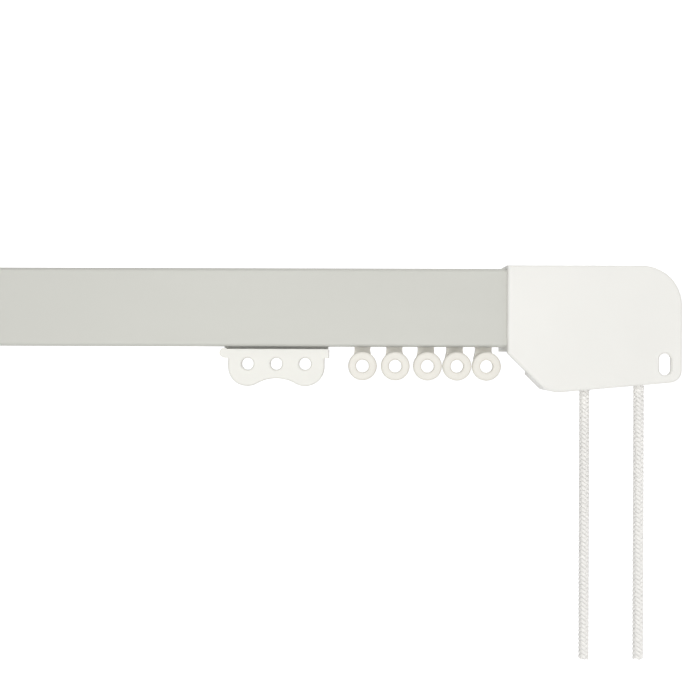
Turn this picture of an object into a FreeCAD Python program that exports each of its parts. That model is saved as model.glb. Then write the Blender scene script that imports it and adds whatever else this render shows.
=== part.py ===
"""Corded curtain track: an extruded rail with a cord housing at its right end, a return
pulley at its left end, a master carrier, five gliders and a draw cord.

Frame: X runs along the rail towards the cord housing, +Z is up and -Y faces the room.
The origin lies in the mouth of the bracket groove, at the middle of the rail's top.
"""

import FreeCAD, Part
import math
import os
import Sketcher

Vector = FreeCAD.Vector
doc = FreeCAD.newDocument("curtain_track")
dims = doc.addObject("Spreadsheet::Sheet", "dims")

# Driving dimensions in millimetres
SIZES = {
    # Rail: an aluminium extrusion
    "track_length": 220,
    "track_depth": 16,
    "track_height": 22.2,
    "track_wall": 1.2,
    "track_edge": 1,
    "groove_mouth": 7,
    "groove_height": 3.4,
    "rib_level": 12.2,
    "rib_thickness": 1,
    "rib_gap": 6.6,
    "slot_width": 4.8,
    # Fits: plugged pieces, sliding pieces, turning pieces and cord guides
    "seat_gap": 0.15,
    "slide_gap": 0.25,
    "bore_gap": 0.05,
    "cord_gap": 0.2,
    # Draw cord
    "cord_diameter": 2.75,
    "lane_spacing": 8.8,
    "front_drop_inset": 10.9,
    "rear_drop_inset": 24.3,
    "front_drop_end": 88.4,
    "rear_drop_end": 91.3,
    "cord_exit": 4,
    # Cord housing, measured from the rail's end, top face and underside
    "housing_length": 49,
    "housing_rise": 0.9,
    "housing_proud": 1.3,
    "housing_wall": 1.6,
    "housing_chin": 1.7,
    "housing_toe_run": 11.5,
    "housing_toe_drop": 12.97,
    "housing_heel_drop": 9.6,
    "housing_shoulder": 11.2,
    "housing_heel": 3.6,
    "housing_toe": 8,
    "housing_rim": 0.8,
    "gate_gap": 1,
    "toe_inset": 1.05,
    "tongue_length": 12,
    # Tie slot through the housing's lug: the front plate, left standing at an open heel
    "lug_width": 7.2,
    "lug_rise": 0.8,
    "tie_inset": 4.8,
    "tie_drop": 4.66,
    "tie_width": 3.35,
    "tie_length": 6,
    "tie_bevel": 0.4,
    # Pulleys and axles
    "pulley_pitch": 7,
    "pulley_width": 5,
    "pulley_flange": 1.7,
    "axle_diameter": 3,
    "post_diameter": 6,
    "side_gap": 0.2,
    # Screws that close the housings, seen from the back
    "screw_diameter": 2,
    "screw_head_diameter": 4.4,
    "screw_head_height": 1.3,
    "screw_recess": 2,
    "screw_reach": 5,
    "screw_post": 6.4,
    "screw_slot": 0.7,
    "top_screw_place": 27,
    "top_screw_drop": 4.4,
    "toe_screw_place": 14,
    "toe_screw_drop": 29.5,
    "heel_screw_inset": 6,
    "heel_screw_drop": 13,
    # Grub screws that lock the tongues in the bracket groove
    "grub_diameter": 3,
    "grub_inset": 6,
    "grub_socket": 1.6,
    "grub_socket_depth": 1.6,
    # Return end
    "idler_length": 28,
    "idler_axle_place": 12,
    "idler_shoulder": 8,
    "idler_heel": 3,
    "idler_pin_top": 3,
    "idler_screw_place": 22.6,
    "idler_top_screw_drop": 5.2,
    "idler_low_screw_drop": 17.6,
    # Master carrier, placed from the rail's drive end
    "carrier_place": 65.1,
    "carrier_length": 29.6,
    "carrier_front": 7.2,
    "carrier_back": 3,
    "carrier_gap": 0.7,
    "carrier_bar": 2.6,
    "carrier_neck_left": 15.5,
    "carrier_neck_right": 14.6,
    "carrier_neck_thickness": 2.2,
    "carrier_head": 26,
    "carrier_head_width": 11,
    "carrier_head_height": 3,
    "carrier_edge": 0.5,
    "hook_plate_width": 27.4,
    "hook_plate_thickness": 2.2,
    "hook_hole_diameter": 3.3,
    "hook_hole_pitch": 8.15,
    "hook_hole_drop": 4.9,
    "lobe_radius": 5.5,
    "lobe_drop": 5.76,
    "valley_drop": 9.05,
    "nose_radius": 1.4,
    "nose_depth": 3,
    # Cord clamp on the master carrier
    "clamp_length": 6,
    "clamp_post_width": 5,
    "clamp_plate": 1.2,
    "clamp_lip": 0.6,
    "clamp_screw_head": 1.2,
    "clamp_screw_reach": 5,
    # Gliders
    "glider_head_length": 5.6,
    "glider_head_width": 10,
    "glider_head_height": 2.6,
    "glider_head_corner": 1.5,
    "glider_neck": 4.65,
    "glider_neck_thickness": 2.4,
    "glider_foot": 5.7,
    "glider_foot_rise": 0.12,
    "glider_foot_radius": 3.2,
    "glider_arm": 3.8,
    "glider_arm_height": 1.4,
    "eye_diameter": 8.2,
    "eye_hole": 3.5,
    "eye_thickness": 2.2,
    "eye_front": 8,
    "eye_drop": 5.43,
    "eye_edge": 0.7,
    "eye_hole_edge": 0.55,
    "glider_1_place": 40.66,
    "glider_2_place": 31.39,
    "glider_3_place": 22.28,
    "glider_4_place": 13.96,
    "glider_5_place": 5.62,
}
GLIDERS = range(1, 6)

# Levels and places that several pieces share, worked out from the sizes
END = "(dims.track_length / 2)"
HALF_DEPTH = "(dims.track_depth / 2)"
INNER = f"({HALF_DEPTH} - dims.track_wall)"
UNDER = "(-dims.track_height)"
FLOOR = f"({UNDER} + dims.track_wall)"
GROOVE_FLOOR = "(-dims.track_wall - dims.groove_height)"
LANE_ROOF = f"({GROOVE_FLOOR} - dims.track_wall)"
RIB_UNDER = "(-dims.rib_level - dims.rib_thickness)"
LANE = "(dims.lane_spacing / 2)"
CORD_RADIUS = "(dims.cord_diameter / 2)"
CORD_LEVEL = f"(-dims.rib_level + dims.seat_gap + {CORD_RADIUS})"
FACE = f"({HALF_DEPTH} + dims.housing_proud)"
CAVITY = f"({FACE} - dims.housing_wall)"
CHIN = f"({UNDER} - dims.housing_chin)"
AXLE_LEVEL = f"({CORD_LEVEL} - dims.pulley_pitch)"
AXLE_RADIUS = "(dims.axle_diameter / 2)"
HALF_PULLEY = "(dims.pulley_width / 2)"
PULLEY_RADIUS = "(dims.pulley_pitch + dims.pulley_flange)"
IDLER_PLACE = f"(-{END} - dims.idler_axle_place)"
CARRIER = f"({END} - dims.carrier_place)"
BAR_TOP = f"({UNDER} - dims.carrier_gap)"
EYE_LEVEL = f"({UNDER} - dims.eye_drop)"

# How far a cutting tool runs past a face, a reach beyond any housing, and a match of places
OVER = "1"
FAR = "100"
TINY = 1e-6

# For each lane of cord: its side of the rail, its distance from the rail's end, its foot
DROPS = {"front": ("-1", "(dims.housing_length - dims.front_drop_inset)", "dims.front_drop_end"),
         "rear": ("1", "(dims.housing_length - dims.rear_drop_inset)", "dims.rear_drop_end")}
DRIVE_SCREWS = (("dims.top_screw_place", "dims.top_screw_drop"),
                ("dims.toe_screw_place", "dims.toe_screw_drop"),
                ("(dims.housing_length - dims.heel_screw_inset)", "dims.heel_screw_drop"))
IDLER_SCREWS = (("dims.idler_screw_place", "dims.idler_top_screw_drop"),
                ("dims.idler_screw_place", "dims.idler_low_screw_drop"))


def fill_sheet():
    """Writes each size to its own row, with its name as the cell's alias."""
    for row, (name, value) in enumerate(SIZES.items(), start=1):
        dims.set(f"A{row}", name)
        dims.set(f"B{row}", str(value))
        dims.setAlias(f"B{row}", name)
    doc.recompute()


def size(expression):
    """The value of an expression on the sheet, for a shape that takes numbers."""
    return float(dims.evalExpression(expression))


def add(kind, name, **links):
    """A document object with its plain properties set."""
    item = doc.addObject(kind, name)
    item.Label = name
    for key, value in links.items():
        setattr(item, key, value)
    return item


def box(name, xs, ys, zs):
    """A box between a low and a high expression on each axis."""
    item = add("Part::Box", name)
    for side, axis, (low, high) in zip(("Length", "Width", "Height"), "xyz", (xs, ys, zs)):
        item.setExpression(side, f"({high}) - ({low})")
        item.setExpression(f"Placement.Base.{axis}", low)
    return item


TURN_TO = {"x": FreeCAD.Rotation(Vector(0, 1, 0), 90),
           "y": FreeCAD.Rotation(Vector(1, 0, 0), -90),
           "z": FreeCAD.Rotation()}


def rod(name, axis, radius, centre, low, high):
    """A round bar along an axis, with its centre given on the two other axes in order."""
    item = add("Part::Cylinder", name)
    item.Placement = FreeCAD.Placement(Vector(), TURN_TO[axis])
    item.setExpression("Radius", radius)
    item.setExpression("Height", f"({high}) - ({low})")
    across = [other for other in "xyz" if other != axis]
    for other, place in zip(across, centre):
        item.setExpression(f"Placement.Base.{other}", place)
    item.setExpression(f"Placement.Base.{axis}", low)
    return item


def fuse(name, *shapes):
    """One solid from several that meet."""
    return add("Part::MultiFuse", name, Shapes=list(shapes), Refine=True)


def cut(name, base, *tools):
    """The base with every tool taken away."""
    tool = tools[0] if len(tools) == 1 else fuse(f"{name}_tools", *tools)
    return add("Part::Cut", name, Base=base, Tool=tool, Refine=True)


def common(name, base, tool):
    """What the two shapes share."""
    return add("Part::Common", name, Base=base, Tool=tool, Refine=True)


def corner_arc(before, corner, after, radius):
    """Where a rounding leaves its two sides, and the middle of its arc."""
    to_before = (before - corner).normalize()
    to_after = (after - corner).normalize()
    half = to_before.getAngle(to_after) / 2
    inward = (to_before + to_after).normalize()
    run = radius / math.tan(half)
    middle = corner + inward * (radius / math.sin(half) - radius)
    return corner + to_before * run, middle, corner + to_after * run


def draw(sketch, corners):
    """A closed outline through corners (x, y, radius), each held to its expressions.

    A corner without a radius is sharp. A rounded one keeps a construction point where its
    two sides would meet."""
    count = len(corners)
    points = [Vector(size(x), size(y), 0) for x, y, _ in corners]
    radii = [size(radius) if radius else 0 for _, _, radius in corners]
    arcs = {}
    for i in range(count):
        if radii[i]:
            arcs[i] = corner_arc(points[i - 1], points[i], points[(i + 1) % count], radii[i])
    lines = []
    for i in range(count):
        after = (i + 1) % count
        start = arcs[i][2] if i in arcs else points[i]
        stop = arcs[after][0] if after in arcs else points[after]
        lines.append(sketch.addGeometry(Part.LineSegment(start, stop), False))
    for i, (x, y, radius) in enumerate(corners):
        before, after = lines[i - 1], lines[i]
        if i in arcs:
            start, middle, stop = arcs[i]
            arc = sketch.addGeometry(Part.Arc(start, middle, stop), False)
            forwards = (middle - start).cross(stop - middle).z > 0
            first, last = (1, 2) if forwards else (2, 1)
            sketch.addConstraint(Sketcher.Constraint("Tangent", before, 2, arc, first))
            sketch.addConstraint(Sketcher.Constraint("Tangent", arc, last, after, 1))
            hold = sketch.addConstraint(Sketcher.Constraint("Radius", arc, radii[i]))
            sketch.setExpression(f"Constraints[{hold}]", radius)
            held = sketch.addGeometry(Part.Point(points[i]), True)
            sketch.addConstraint(Sketcher.Constraint("PointOnObject", held, 1, before))
            sketch.addConstraint(Sketcher.Constraint("PointOnObject", held, 1, after))
        else:
            held = after
            sketch.addConstraint(Sketcher.Constraint("Coincident", before, 2, after, 1))
        for kind, place, at in (("DistanceX", x, points[i].x), ("DistanceY", y, points[i].y)):
            hold = sketch.addConstraint(Sketcher.Constraint(kind, -1, 1, held, 1, at))
            sketch.setExpression(f"Constraints[{hold}]", place)


def front_sketch(name, corners, level):
    """An outline seen from the front, X to the right and Z up, at a level of Y."""
    sketch = add("Sketcher::SketchObject", name)
    sketch.Placement = FreeCAD.Placement(Vector(), FreeCAD.Rotation(Vector(1, 0, 0), 90))
    draw(sketch, corners)
    sketch.setExpression("Placement.Base.y", level)
    return sketch


def extrude(name, base, depth):
    """A solid from a front outline, carried towards the back."""
    item = add("Part::Extrusion", name, Base=base, DirMode="Custom", Dir=Vector(0, 1, 0), Solid=True)
    item.setExpression("LengthFwd", depth)
    return item


def round_edges(name, base, radius, wanted, kind="Part::Fillet"):
    """The base with every edge that the test picks rounded or bevelled by one size."""
    doc.recompute()
    amount = size(radius)
    picked = [i for i, edge in enumerate(base.Shape.Edges, start=1) if wanted(edge)]
    return add(kind, name, Base=base, Edges=[(i, amount, amount) for i in picked])


def origin_plane(body, role):
    """One of a body's own origin planes."""
    return next(plane for plane in body.Origin.OriginFeatures if plane.Role == role)


def body_sketch(body, name, role, corners, level=None):
    """An outline on one of the body's origin planes, moved along the plane's normal."""
    sketch = body.newObject("Sketcher::SketchObject", name)
    sketch.AttachmentSupport = (origin_plane(body, role), "")
    sketch.MapMode = "FlatFace"
    if level:
        sketch.setExpression("AttachmentOffset.Base.z", level)
    draw(sketch, corners)
    return sketch


def draw_axis(sketch, level, length):
    """A construction line to turn about, level with the sketch's first axis."""
    start, stop = Vector(-size(length), size(level), 0), Vector(0, size(level), 0)
    line = sketch.addGeometry(Part.LineSegment(start, stop), True)
    sketch.addConstraint(Sketcher.Constraint("PointOnObject", line, 2, -2))
    sketch.addConstraint(Sketcher.Constraint("Horizontal", line))
    hold = sketch.addConstraint(Sketcher.Constraint("DistanceY", -1, 1, line, 2, stop.y))
    sketch.setExpression(f"Constraints[{hold}]", level)
    hold = sketch.addConstraint(Sketcher.Constraint("DistanceX", line, 1, line, 2, -start.x))
    sketch.setExpression(f"Constraints[{hold}]", length)


def pad(body, name, sketch, length):
    """A pad of the sketch along its normal."""
    item = body.newObject("PartDesign::Pad", name)
    item.Profile = sketch
    item.setExpression("Length", length)
    return item


# Rail


def rail_section():
    """Corners of the rail's section, round its outside, bracket groove and glider channel.

    Each side: rounded outer corners, the slot's lip, the channel wall, the rib that carries
    the cord, and the roof. The groove above is closed by the two top lips."""
    side = [(HALF_DEPTH, "0", "dims.track_edge"), (HALF_DEPTH, UNDER, "dims.track_edge"),
            ("dims.slot_width / 2", UNDER, None), ("dims.slot_width / 2", FLOOR, None),
            (INNER, FLOOR, None), (INNER, RIB_UNDER, None),
            ("dims.rib_gap / 2", RIB_UNDER, None), ("dims.rib_gap / 2", "-dims.rib_level", None),
            (INNER, "-dims.rib_level", None), (INNER, LANE_ROOF, None)]
    groove = [(INNER, GROOVE_FLOOR, None), (INNER, "-dims.track_wall", None),
              ("dims.groove_mouth / 2", "-dims.track_wall", None), ("dims.groove_mouth / 2", "0", None)]
    other_side = [(f"-({y})", z, radius) for y, z, radius in reversed(side)]
    other_groove = [(f"-({y})", z, radius) for y, z, radius in reversed(groove)]
    return side + other_side + other_groove + groove


def make_track():
    body = add("PartDesign::Body", "track_profile")
    sketch = body_sketch(body, "track_section", "YZ_Plane", rail_section(), f"-{END}")
    pad(body, "track_pad", sketch, "dims.track_length")
    return body


# Housings


def screw_centre(start, way, place, drop):
    """X and Z of a screw, from the rail's end and top."""
    return f"({start} {way} {place})", f"(-{drop})"


def screw_posts(name, centres, side):
    """Round posts from a shell's plate to the parting plane, one for each screw."""
    low, high = (f"-{CAVITY} - dims.housing_wall / 2", "0") if side == "front" else (
        "0", f"{CAVITY} + dims.housing_wall / 2")
    return [rod(f"{name}_post_{i}", "y", "dims.screw_post / 2", centre, low, high)
            for i, centre in enumerate(centres, start=1)]


def screw_holes(name, centres, side):
    """Pilot holes in the front shell, or through holes and head recesses in the rear one."""
    holes = []
    for i, centre in enumerate(centres, start=1):
        radius = "dims.screw_diameter / 2 + dims.bore_gap"
        if side == "front":
            holes.append(rod(f"{name}_pilot_{i}", "y", radius, centre,
                             "-dims.screw_reach - dims.seat_gap", OVER))
        else:
            holes.append(rod(f"{name}_hole_{i}", "y", radius, centre, f"-{OVER}", FACE))
            holes.append(rod(f"{name}_recess_{i}", "y", "dims.screw_head_diameter / 2 + dims.seat_gap",
                             centre, f"{FACE} - dims.screw_recess", f"{FACE} + {OVER}"))
    return holes


def screw_solids(name, centres):
    """Slotted pan-head screws, driven from the back."""
    seat = f"({FACE} - dims.screw_recess)"
    crown = f"({seat} + dims.screw_head_height)"
    solids = []
    for i, (x, z) in enumerate(centres, start=1):
        shank = rod(f"{name}_shank_{i}", "y", "dims.screw_diameter / 2", (x, z), "-dims.screw_reach", seat)
        head = rod(f"{name}_head_{i}", "y", "dims.screw_head_diameter / 2", (x, z), seat, crown)
        slot = box(f"{name}_slot_{i}", (f"{x} - {FAR}", f"{x} + {FAR}"),
                   (f"{crown} - dims.screw_head_height / 2", f"{crown} + {OVER}"),
                   (f"{z} - dims.screw_slot / 2", f"{z} + dims.screw_slot / 2"))
        solids.append(cut(f"{name}_{i}", fuse(f"{name}_blank_{i}", shank, head), slot))
    return add("Part::Compound", name, Links=solids)


def hollow_block(name, corners, solid_part=None):
    """A block of an outline with rounded front and back rims, hollow inside its walls.

    A solid part, where there is one, stays filled."""
    outer = front_sketch(f"{name}_outline", corners, f"-{FACE}")
    block = extrude(f"{name}_block", outer, f"2 * {FACE}")
    face = size(FACE)

    def on_rim(edge):
        ends = [vertex.Point for vertex in edge.Vertexes]
        return all(abs(abs(p.y) - face) < TINY for p in ends) and abs(ends[0].y - ends[-1].y) < TINY

    rounded = round_edges(f"{name}_rounded", block, "dims.housing_rim", on_rim)
    inside = front_sketch(f"{name}_inside", corners, f"-{CAVITY}")
    inner = add("Part::Offset2D", f"{name}_inner", Source=inside, Join="Intersection", Fill=False)
    inner.setExpression("Value", "-dims.housing_wall")
    space = extrude(f"{name}_space", inner, f"2 * {CAVITY}")
    if solid_part:
        space = cut(f"{name}_room", space, solid_part)
    return cut(f"{name}_walls", rounded, space)


def half_space(name, side):
    """A large box on one side of the parting plane."""
    ys = (f"-{FAR}", "0") if side == "front" else ("0", FAR)
    reach = f"(dims.track_length + {FAR})"
    return box(name, (f"-{reach}", reach), ys, (f"-{FAR}", FAR))


def cord_window(name, rail_face):
    """The way through a housing's end wall for the two lanes of cord."""
    width = f"({INNER} - dims.seat_gap)"
    reach = f"(dims.housing_wall + {OVER})"
    return box(name, (f"{rail_face} - {reach}", f"{rail_face} + {reach}"),
               (f"-{width}", width), ("-dims.rib_level", LANE_ROOF))


def tongue(name, rail_face, way):
    """The bar that plugs into the bracket groove, with a hole for its grub screw."""
    width = f"({INNER} - dims.seat_gap)"
    xs = (f"{rail_face} - dims.tongue_length", rail_face)
    if way == "right":
        xs = (rail_face, f"{rail_face} + dims.tongue_length")
    bar = box(f"{name}_bar", xs, (f"-{width}", width),
              (f"{GROOVE_FLOOR} + dims.seat_gap", "-dims.track_wall - dims.seat_gap"))
    hole = rod(f"{name}_hole", "z", "dims.grub_diameter / 2 + dims.bore_gap",
               (grub_place(rail_face, way), "0"), GROOVE_FLOOR, "0")
    return cut(name, bar, hole)


def grub_place(rail_face, way):
    """X of the grub screw in a tongue."""
    return f"({rail_face} {'-' if way == 'left' else '+'} dims.grub_inset)"


def make_grub_screws():
    """Two grub screws with hexagon-sized round sockets, pressing on the groove's floor."""
    top = "(-dims.track_wall)"
    solids = []
    for name, rail_face, way in (("drive", END, "left"), ("idler", f"(-{END})", "right")):
        centre = (grub_place(rail_face, way), "0")
        body = rod(f"{name}_grub_body", "z", "dims.grub_diameter / 2", centre, GROOVE_FLOOR, top)
        socket = rod(f"{name}_grub_socket", "z", "dims.grub_socket / 2", centre,
                     f"{top} - dims.grub_socket_depth", f"{top} + {OVER}")
        solids.append(cut(f"{name}_grub", body, socket))
    return add("Part::Compound", "tongue_grub_screws", Links=solids)


def drive_outline():
    """The cord housing from the front: big shoulder, sloping sole and a slanting throat."""
    right = f"{END} + dims.housing_length"
    return [(END, "dims.housing_rise", None),
            (right, "dims.housing_rise", "dims.housing_shoulder"),
            (right, f"{UNDER} - dims.housing_heel_drop", "dims.housing_heel"),
            (f"{END} + dims.housing_toe_run", f"{UNDER} - dims.housing_toe_drop", "dims.housing_toe"),
            (END, CHIN, None)]


def idler_outline():
    """The return end from the front: a plain block with two rounded outer corners."""
    left = f"-{END} - dims.idler_length"
    return [(f"-{END}", "dims.housing_rise", None), (f"-{END}", CHIN, None),
            (left, CHIN, "dims.idler_heel"), (left, "dims.housing_rise", "dims.idler_shoulder")]


def sole_level(place):
    """Z of the cord housing's sloping sole at a distance from the rail's end."""
    slope = "(dims.housing_toe_drop - dims.housing_heel_drop) / (dims.housing_length - dims.housing_toe_run)"
    return f"({UNDER} - dims.housing_toe_drop + ({place} - dims.housing_toe_run) * {slope})"


def pulley_place(lane):
    """X of a drive pulley's axle: its cord drops from the pulley's right side."""
    return f"({END} + {DROPS[lane][1]} - dims.pulley_pitch)"


def open_corners(name, margin):
    """What is open behind the housing's front plate, grown inwards by a margin: the gate under
    the rail's end, the outside of the slanting toe, and the heel."""
    right, ys = f"({END} + dims.housing_length)", (f"-{CAVITY}", f"{FACE} + {OVER}")
    gate_end = f"({pulley_place('rear')} - {PULLEY_RADIUS} - dims.gate_gap)"
    gate = box(f"{name}_gate", (f"{END} - {OVER}", f"{gate_end} + {margin}"), ys,
               (f"-{FAR}", f"{CHIN} + dims.housing_rim / 2 + {margin}"))
    heel = box(f"{name}_heel", (f"{right} - dims.lug_width - {margin}", f"{right} + {OVER}"), ys,
               (f"-{FAR}", f"{UNDER} + dims.lug_rise + {margin}"))
    run, fall = "dims.housing_toe_run", "(dims.housing_toe_drop - dims.housing_chin)"
    shift = f"((dims.toe_inset + {margin}) * sqrt({run} * {run} + {fall} * {fall}) / {fall})"
    low = f"({CHIN} - 2 * {fall})"
    slant = front_sketch(f"{name}_slant", [(END, CHIN, None), (f"{END} + {shift}", CHIN, None),
                                           (f"{END} + {shift} + 2 * {run}", low, None), (END, low, None)],
                         f"-{CAVITY}")
    toe = extrude(f"{name}_toe", slant, f"{CAVITY} + {FACE} + {OVER}")
    return fuse(name, gate, toe, heel)


def pulley_rooms():
    """Round spaces in which the two drive pulleys turn clear of the walls."""
    return [rod(f"drive_{lane}_room", "y", f"{PULLEY_RADIUS} + dims.gate_gap",
                (pulley_place(lane), AXLE_LEVEL), f"-{FACE}", FACE) for lane in DROPS]


def tie_slot():
    """The upright slot through the lug."""
    x = f"({END} + dims.housing_length - dims.tie_inset)"
    z = f"({UNDER} - dims.tie_drop)"
    half = "(dims.tie_width / 2)"
    rise = f"(dims.tie_length / 2 - {half})"
    ys = (f"-{FACE}", f"-{CAVITY}")
    middle = box("tie_slot_middle", (f"{x} - {half}", f"{x} + {half}"), ys,
                 (f"{z} - {rise}", f"{z} + {rise}"))
    ends = [rod(f"tie_slot_{end}", "y", half, (x, f"{z} {way} {rise}"), *ys)
            for end, way in (("top", "+"), ("bottom", "-"))]
    return fuse("tie_slot", middle, *ends)


def axle_posts(side):
    """Posts that carry the two axles: short beside the near pulley, long to the far one."""
    posts = []
    near = f"({LANE} + {HALF_PULLEY} + dims.side_gap)"
    far = f"({LANE} - {HALF_PULLEY} - dims.side_gap)"
    for lane in DROPS:
        reach = near if lane == side else f"(-{far})"
        root = f"({CAVITY} + dims.housing_wall / 2)"
        low, high = (f"-{root}", f"-{reach}") if side == "front" else (reach, root)
        posts.append(rod(f"{side}_shell_{lane}_axle_post", "y", "dims.post_diameter / 2",
                         (pulley_place(lane), AXLE_LEVEL), low, high))
    return posts


def axle_holes(side):
    """Sockets for both axles through a shell's posts."""
    return [rod(f"{side}_shell_{lane}_axle_hole", "y", f"{AXLE_RADIUS} + dims.bore_gap",
                (pulley_place(lane), AXLE_LEVEL), f"-{CAVITY}", CAVITY) for lane in DROPS]


def make_drive_housing():
    """The two shells of the cord housing, parted along the rail's middle."""
    corner_walls = cut("drive_corner_walls", open_corners("drive_corner_blocks", "dims.housing_wall"),
                       *pulley_rooms())
    walls = hollow_block("drive", drive_outline(), corner_walls)
    opened = cut("drive_opened", walls, open_corners("drive_corners", "0"), cord_window("drive_window", END))
    centres = [screw_centre(END, "+", place, drop) for place, drop in DRIVE_SCREWS]
    shells = []
    for side, (way, place, _) in DROPS.items():
        half = common(f"drive_{side}_half", opened, half_space(f"drive_{side}_space_side", side))
        extras = axle_posts(side) + screw_posts(f"drive_{side}", centres, side)
        exit_hole = rod(f"drive_{side}_exit", "z", "dims.cord_exit / 2",
                        (f"{END} + {place}", f"{way} * {LANE}"), f"-{FAR}", AXLE_LEVEL)
        tools = [exit_hole] + axle_holes(side) + screw_holes(f"drive_{side}", centres, side)
        if side == "front":
            extras.append(tongue("drive_tongue", END, "left"))
            tools.append(tie_slot())
        blank = fuse(f"drive_{side}_blank", half, *extras)
        shells.append(cut(f"drive_housing_{side}" if side == "rear" else "drive_front_cut", blank, *tools))
    front, rear = shells
    return [bevel_tie_slot(front), rear, screw_solids("drive_housing_screws", centres)]


def bevel_tie_slot(shell):
    """Breaks the edges of the tie slot on both faces of the lug."""
    x = size(f"{END} + dims.housing_length - dims.tie_inset")
    z = size(f"{UNDER} - dims.tie_drop")
    faces = (-size(FACE), -size(CAVITY))
    reach = size("dims.tie_length / 2") + TINY

    def on_slot(edge):
        ends = [vertex.Point for vertex in edge.Vertexes]
        near = all(abs(p.x - x) < reach and abs(p.z - z) < reach for p in ends)
        return near and any(all(abs(p.y - face) < TINY for p in ends) for face in faces)

    return round_edges("drive_housing_front", shell, "dims.tie_bevel", on_slot, "Part::Chamfer")


def make_idler_housing():
    """The two shells of the return end. Each holds half of the upright pin's posts."""
    rail_face = f"(-{END})"
    walls = hollow_block("idler", idler_outline())
    half_width = f"({HALF_PULLEY} + dims.side_gap)"
    centre = (IDLER_PLACE, "0")
    top_post = rod("idler_top_post", "z", "dims.post_diameter / 2", centre,
                   f"{CORD_LEVEL} + {half_width}", "0")
    low_post = rod("idler_low_post", "z", "dims.post_diameter / 2", centre,
                   f"{CHIN} + dims.housing_wall / 2", f"{CORD_LEVEL} - {half_width}")
    pin_hole = rod("idler_pin_hole", "z", f"{AXLE_RADIUS} + dims.bore_gap", centre,
                   f"{CHIN} - {OVER}", "-dims.idler_pin_top")
    centres = [screw_centre(rail_face, "-", place, drop) for place, drop in IDLER_SCREWS]
    shells = []
    for side in DROPS:
        blank = fuse(f"idler_{side}_blank", walls, top_post, low_post)
        half = common(f"idler_{side}_half", blank, half_space(f"idler_{side}_space_side", side))
        extras = screw_posts(f"idler_{side}", centres, side)
        if side == "front":
            extras.append(tongue("idler_tongue", rail_face, "right"))
        tools = [pin_hole, cord_window(f"idler_{side}_window", rail_face)]
        tools += screw_holes(f"idler_{side}", centres, side)
        shells.append(cut(f"idler_housing_{side}", fuse(f"idler_{side}_fused", half, *extras), *tools))
    return shells + [screw_solids("idler_housing_screws", centres)]


# Pulleys and axles


def pulley(name, axis, pitch, centre, middle):
    """A grooved wheel, turned from its half section: bore, sides, flanges and a round-bedded groove."""
    body = add("PartDesign::Body", name)
    bore, rim = f"({AXLE_RADIUS} + dims.bore_gap)", f"({pitch} + dims.pulley_flange)"
    groove = f"({CORD_RADIUS} + dims.cord_gap)"
    bed = f"({pitch} - {groove})"
    corners = [(bore, f"-{HALF_PULLEY}", None), (rim, f"-{HALF_PULLEY}", None), (rim, f"-{groove}", None),
               (bed, f"-{groove}", CORD_RADIUS), (bed, groove, CORD_RADIUS), (rim, groove, None),
               (rim, HALF_PULLEY, None), (bore, HALF_PULLEY, None)]
    section = body_sketch(body, f"{name}_section", "XZ_Plane", corners)
    wheel = body.newObject("PartDesign::Revolution", f"{name}_wheel")
    wheel.Profile = section
    wheel.ReferenceAxis = (section, ["V_Axis"])
    body.Placement = FreeCAD.Placement(Vector(), TURN_TO[axis])
    across = [other for other in "xyz" if other != axis]
    for other, place in zip(across + [axis], (*centre, middle)):
        body.setExpression(f"Placement.Base.{other}", place)
    return body


def make_pulleys():
    """Two drive pulleys on cross axles and the return pulley on an upright pin."""
    pieces = []
    for lane, (way, _, _) in DROPS.items():
        centre = (pulley_place(lane), AXLE_LEVEL)
        pieces.append(pulley(f"drive_pulley_{lane}", "y", "dims.pulley_pitch", centre, f"({way} * {LANE})"))
        pieces.append(rod(f"drive_axle_{lane}", "y", AXLE_RADIUS, centre, f"-{CAVITY}", CAVITY))
    centre = (IDLER_PLACE, "0")
    pieces.append(pulley("idler_pulley", "z", LANE, centre, CORD_LEVEL))
    pieces.append(rod("idler_axle", "z", AXLE_RADIUS, centre, CHIN, "-dims.idler_pin_top"))
    return pieces


# Draw cord


def cord_path():
    """The cord's centre line: up to the rear pulley, along the rear lane, round the return
    pulley, back along the front lane and down from the front pulley."""
    level, axle, lane = size(CORD_LEVEL), size(AXLE_LEVEL), size(LANE)
    pitch, turn = size("dims.pulley_pitch"), size(IDLER_PLACE)
    diagonal = math.sqrt(0.5) * pitch
    ends = {}
    for side, (way, place, _) in DROPS.items():
        x, y = size(f"{END} + {place}"), size(f"{way} * {LANE}")
        centre = size(pulley_place(side))
        ends[side] = [Vector(x, y, size(sole_level(place))), Vector(x, y, axle),
                      Vector(centre + diagonal, y, axle + diagonal), Vector(centre, y, level)]
    rear, front = ends["rear"], ends["front"]
    rear_turn, front_turn = Vector(turn, lane, level), Vector(turn, -lane, level)
    far_turn = Vector(turn - lane, 0, level)
    return [Part.LineSegment(rear[0], rear[1]), Part.Arc(rear[1], rear[2], rear[3]),
            Part.LineSegment(rear[3], rear_turn), Part.Arc(rear_turn, far_turn, front_turn),
            Part.LineSegment(front_turn, front[3]), Part.Arc(front[3], front[2], front[1]),
            Part.LineSegment(front[1], front[0])]


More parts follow.
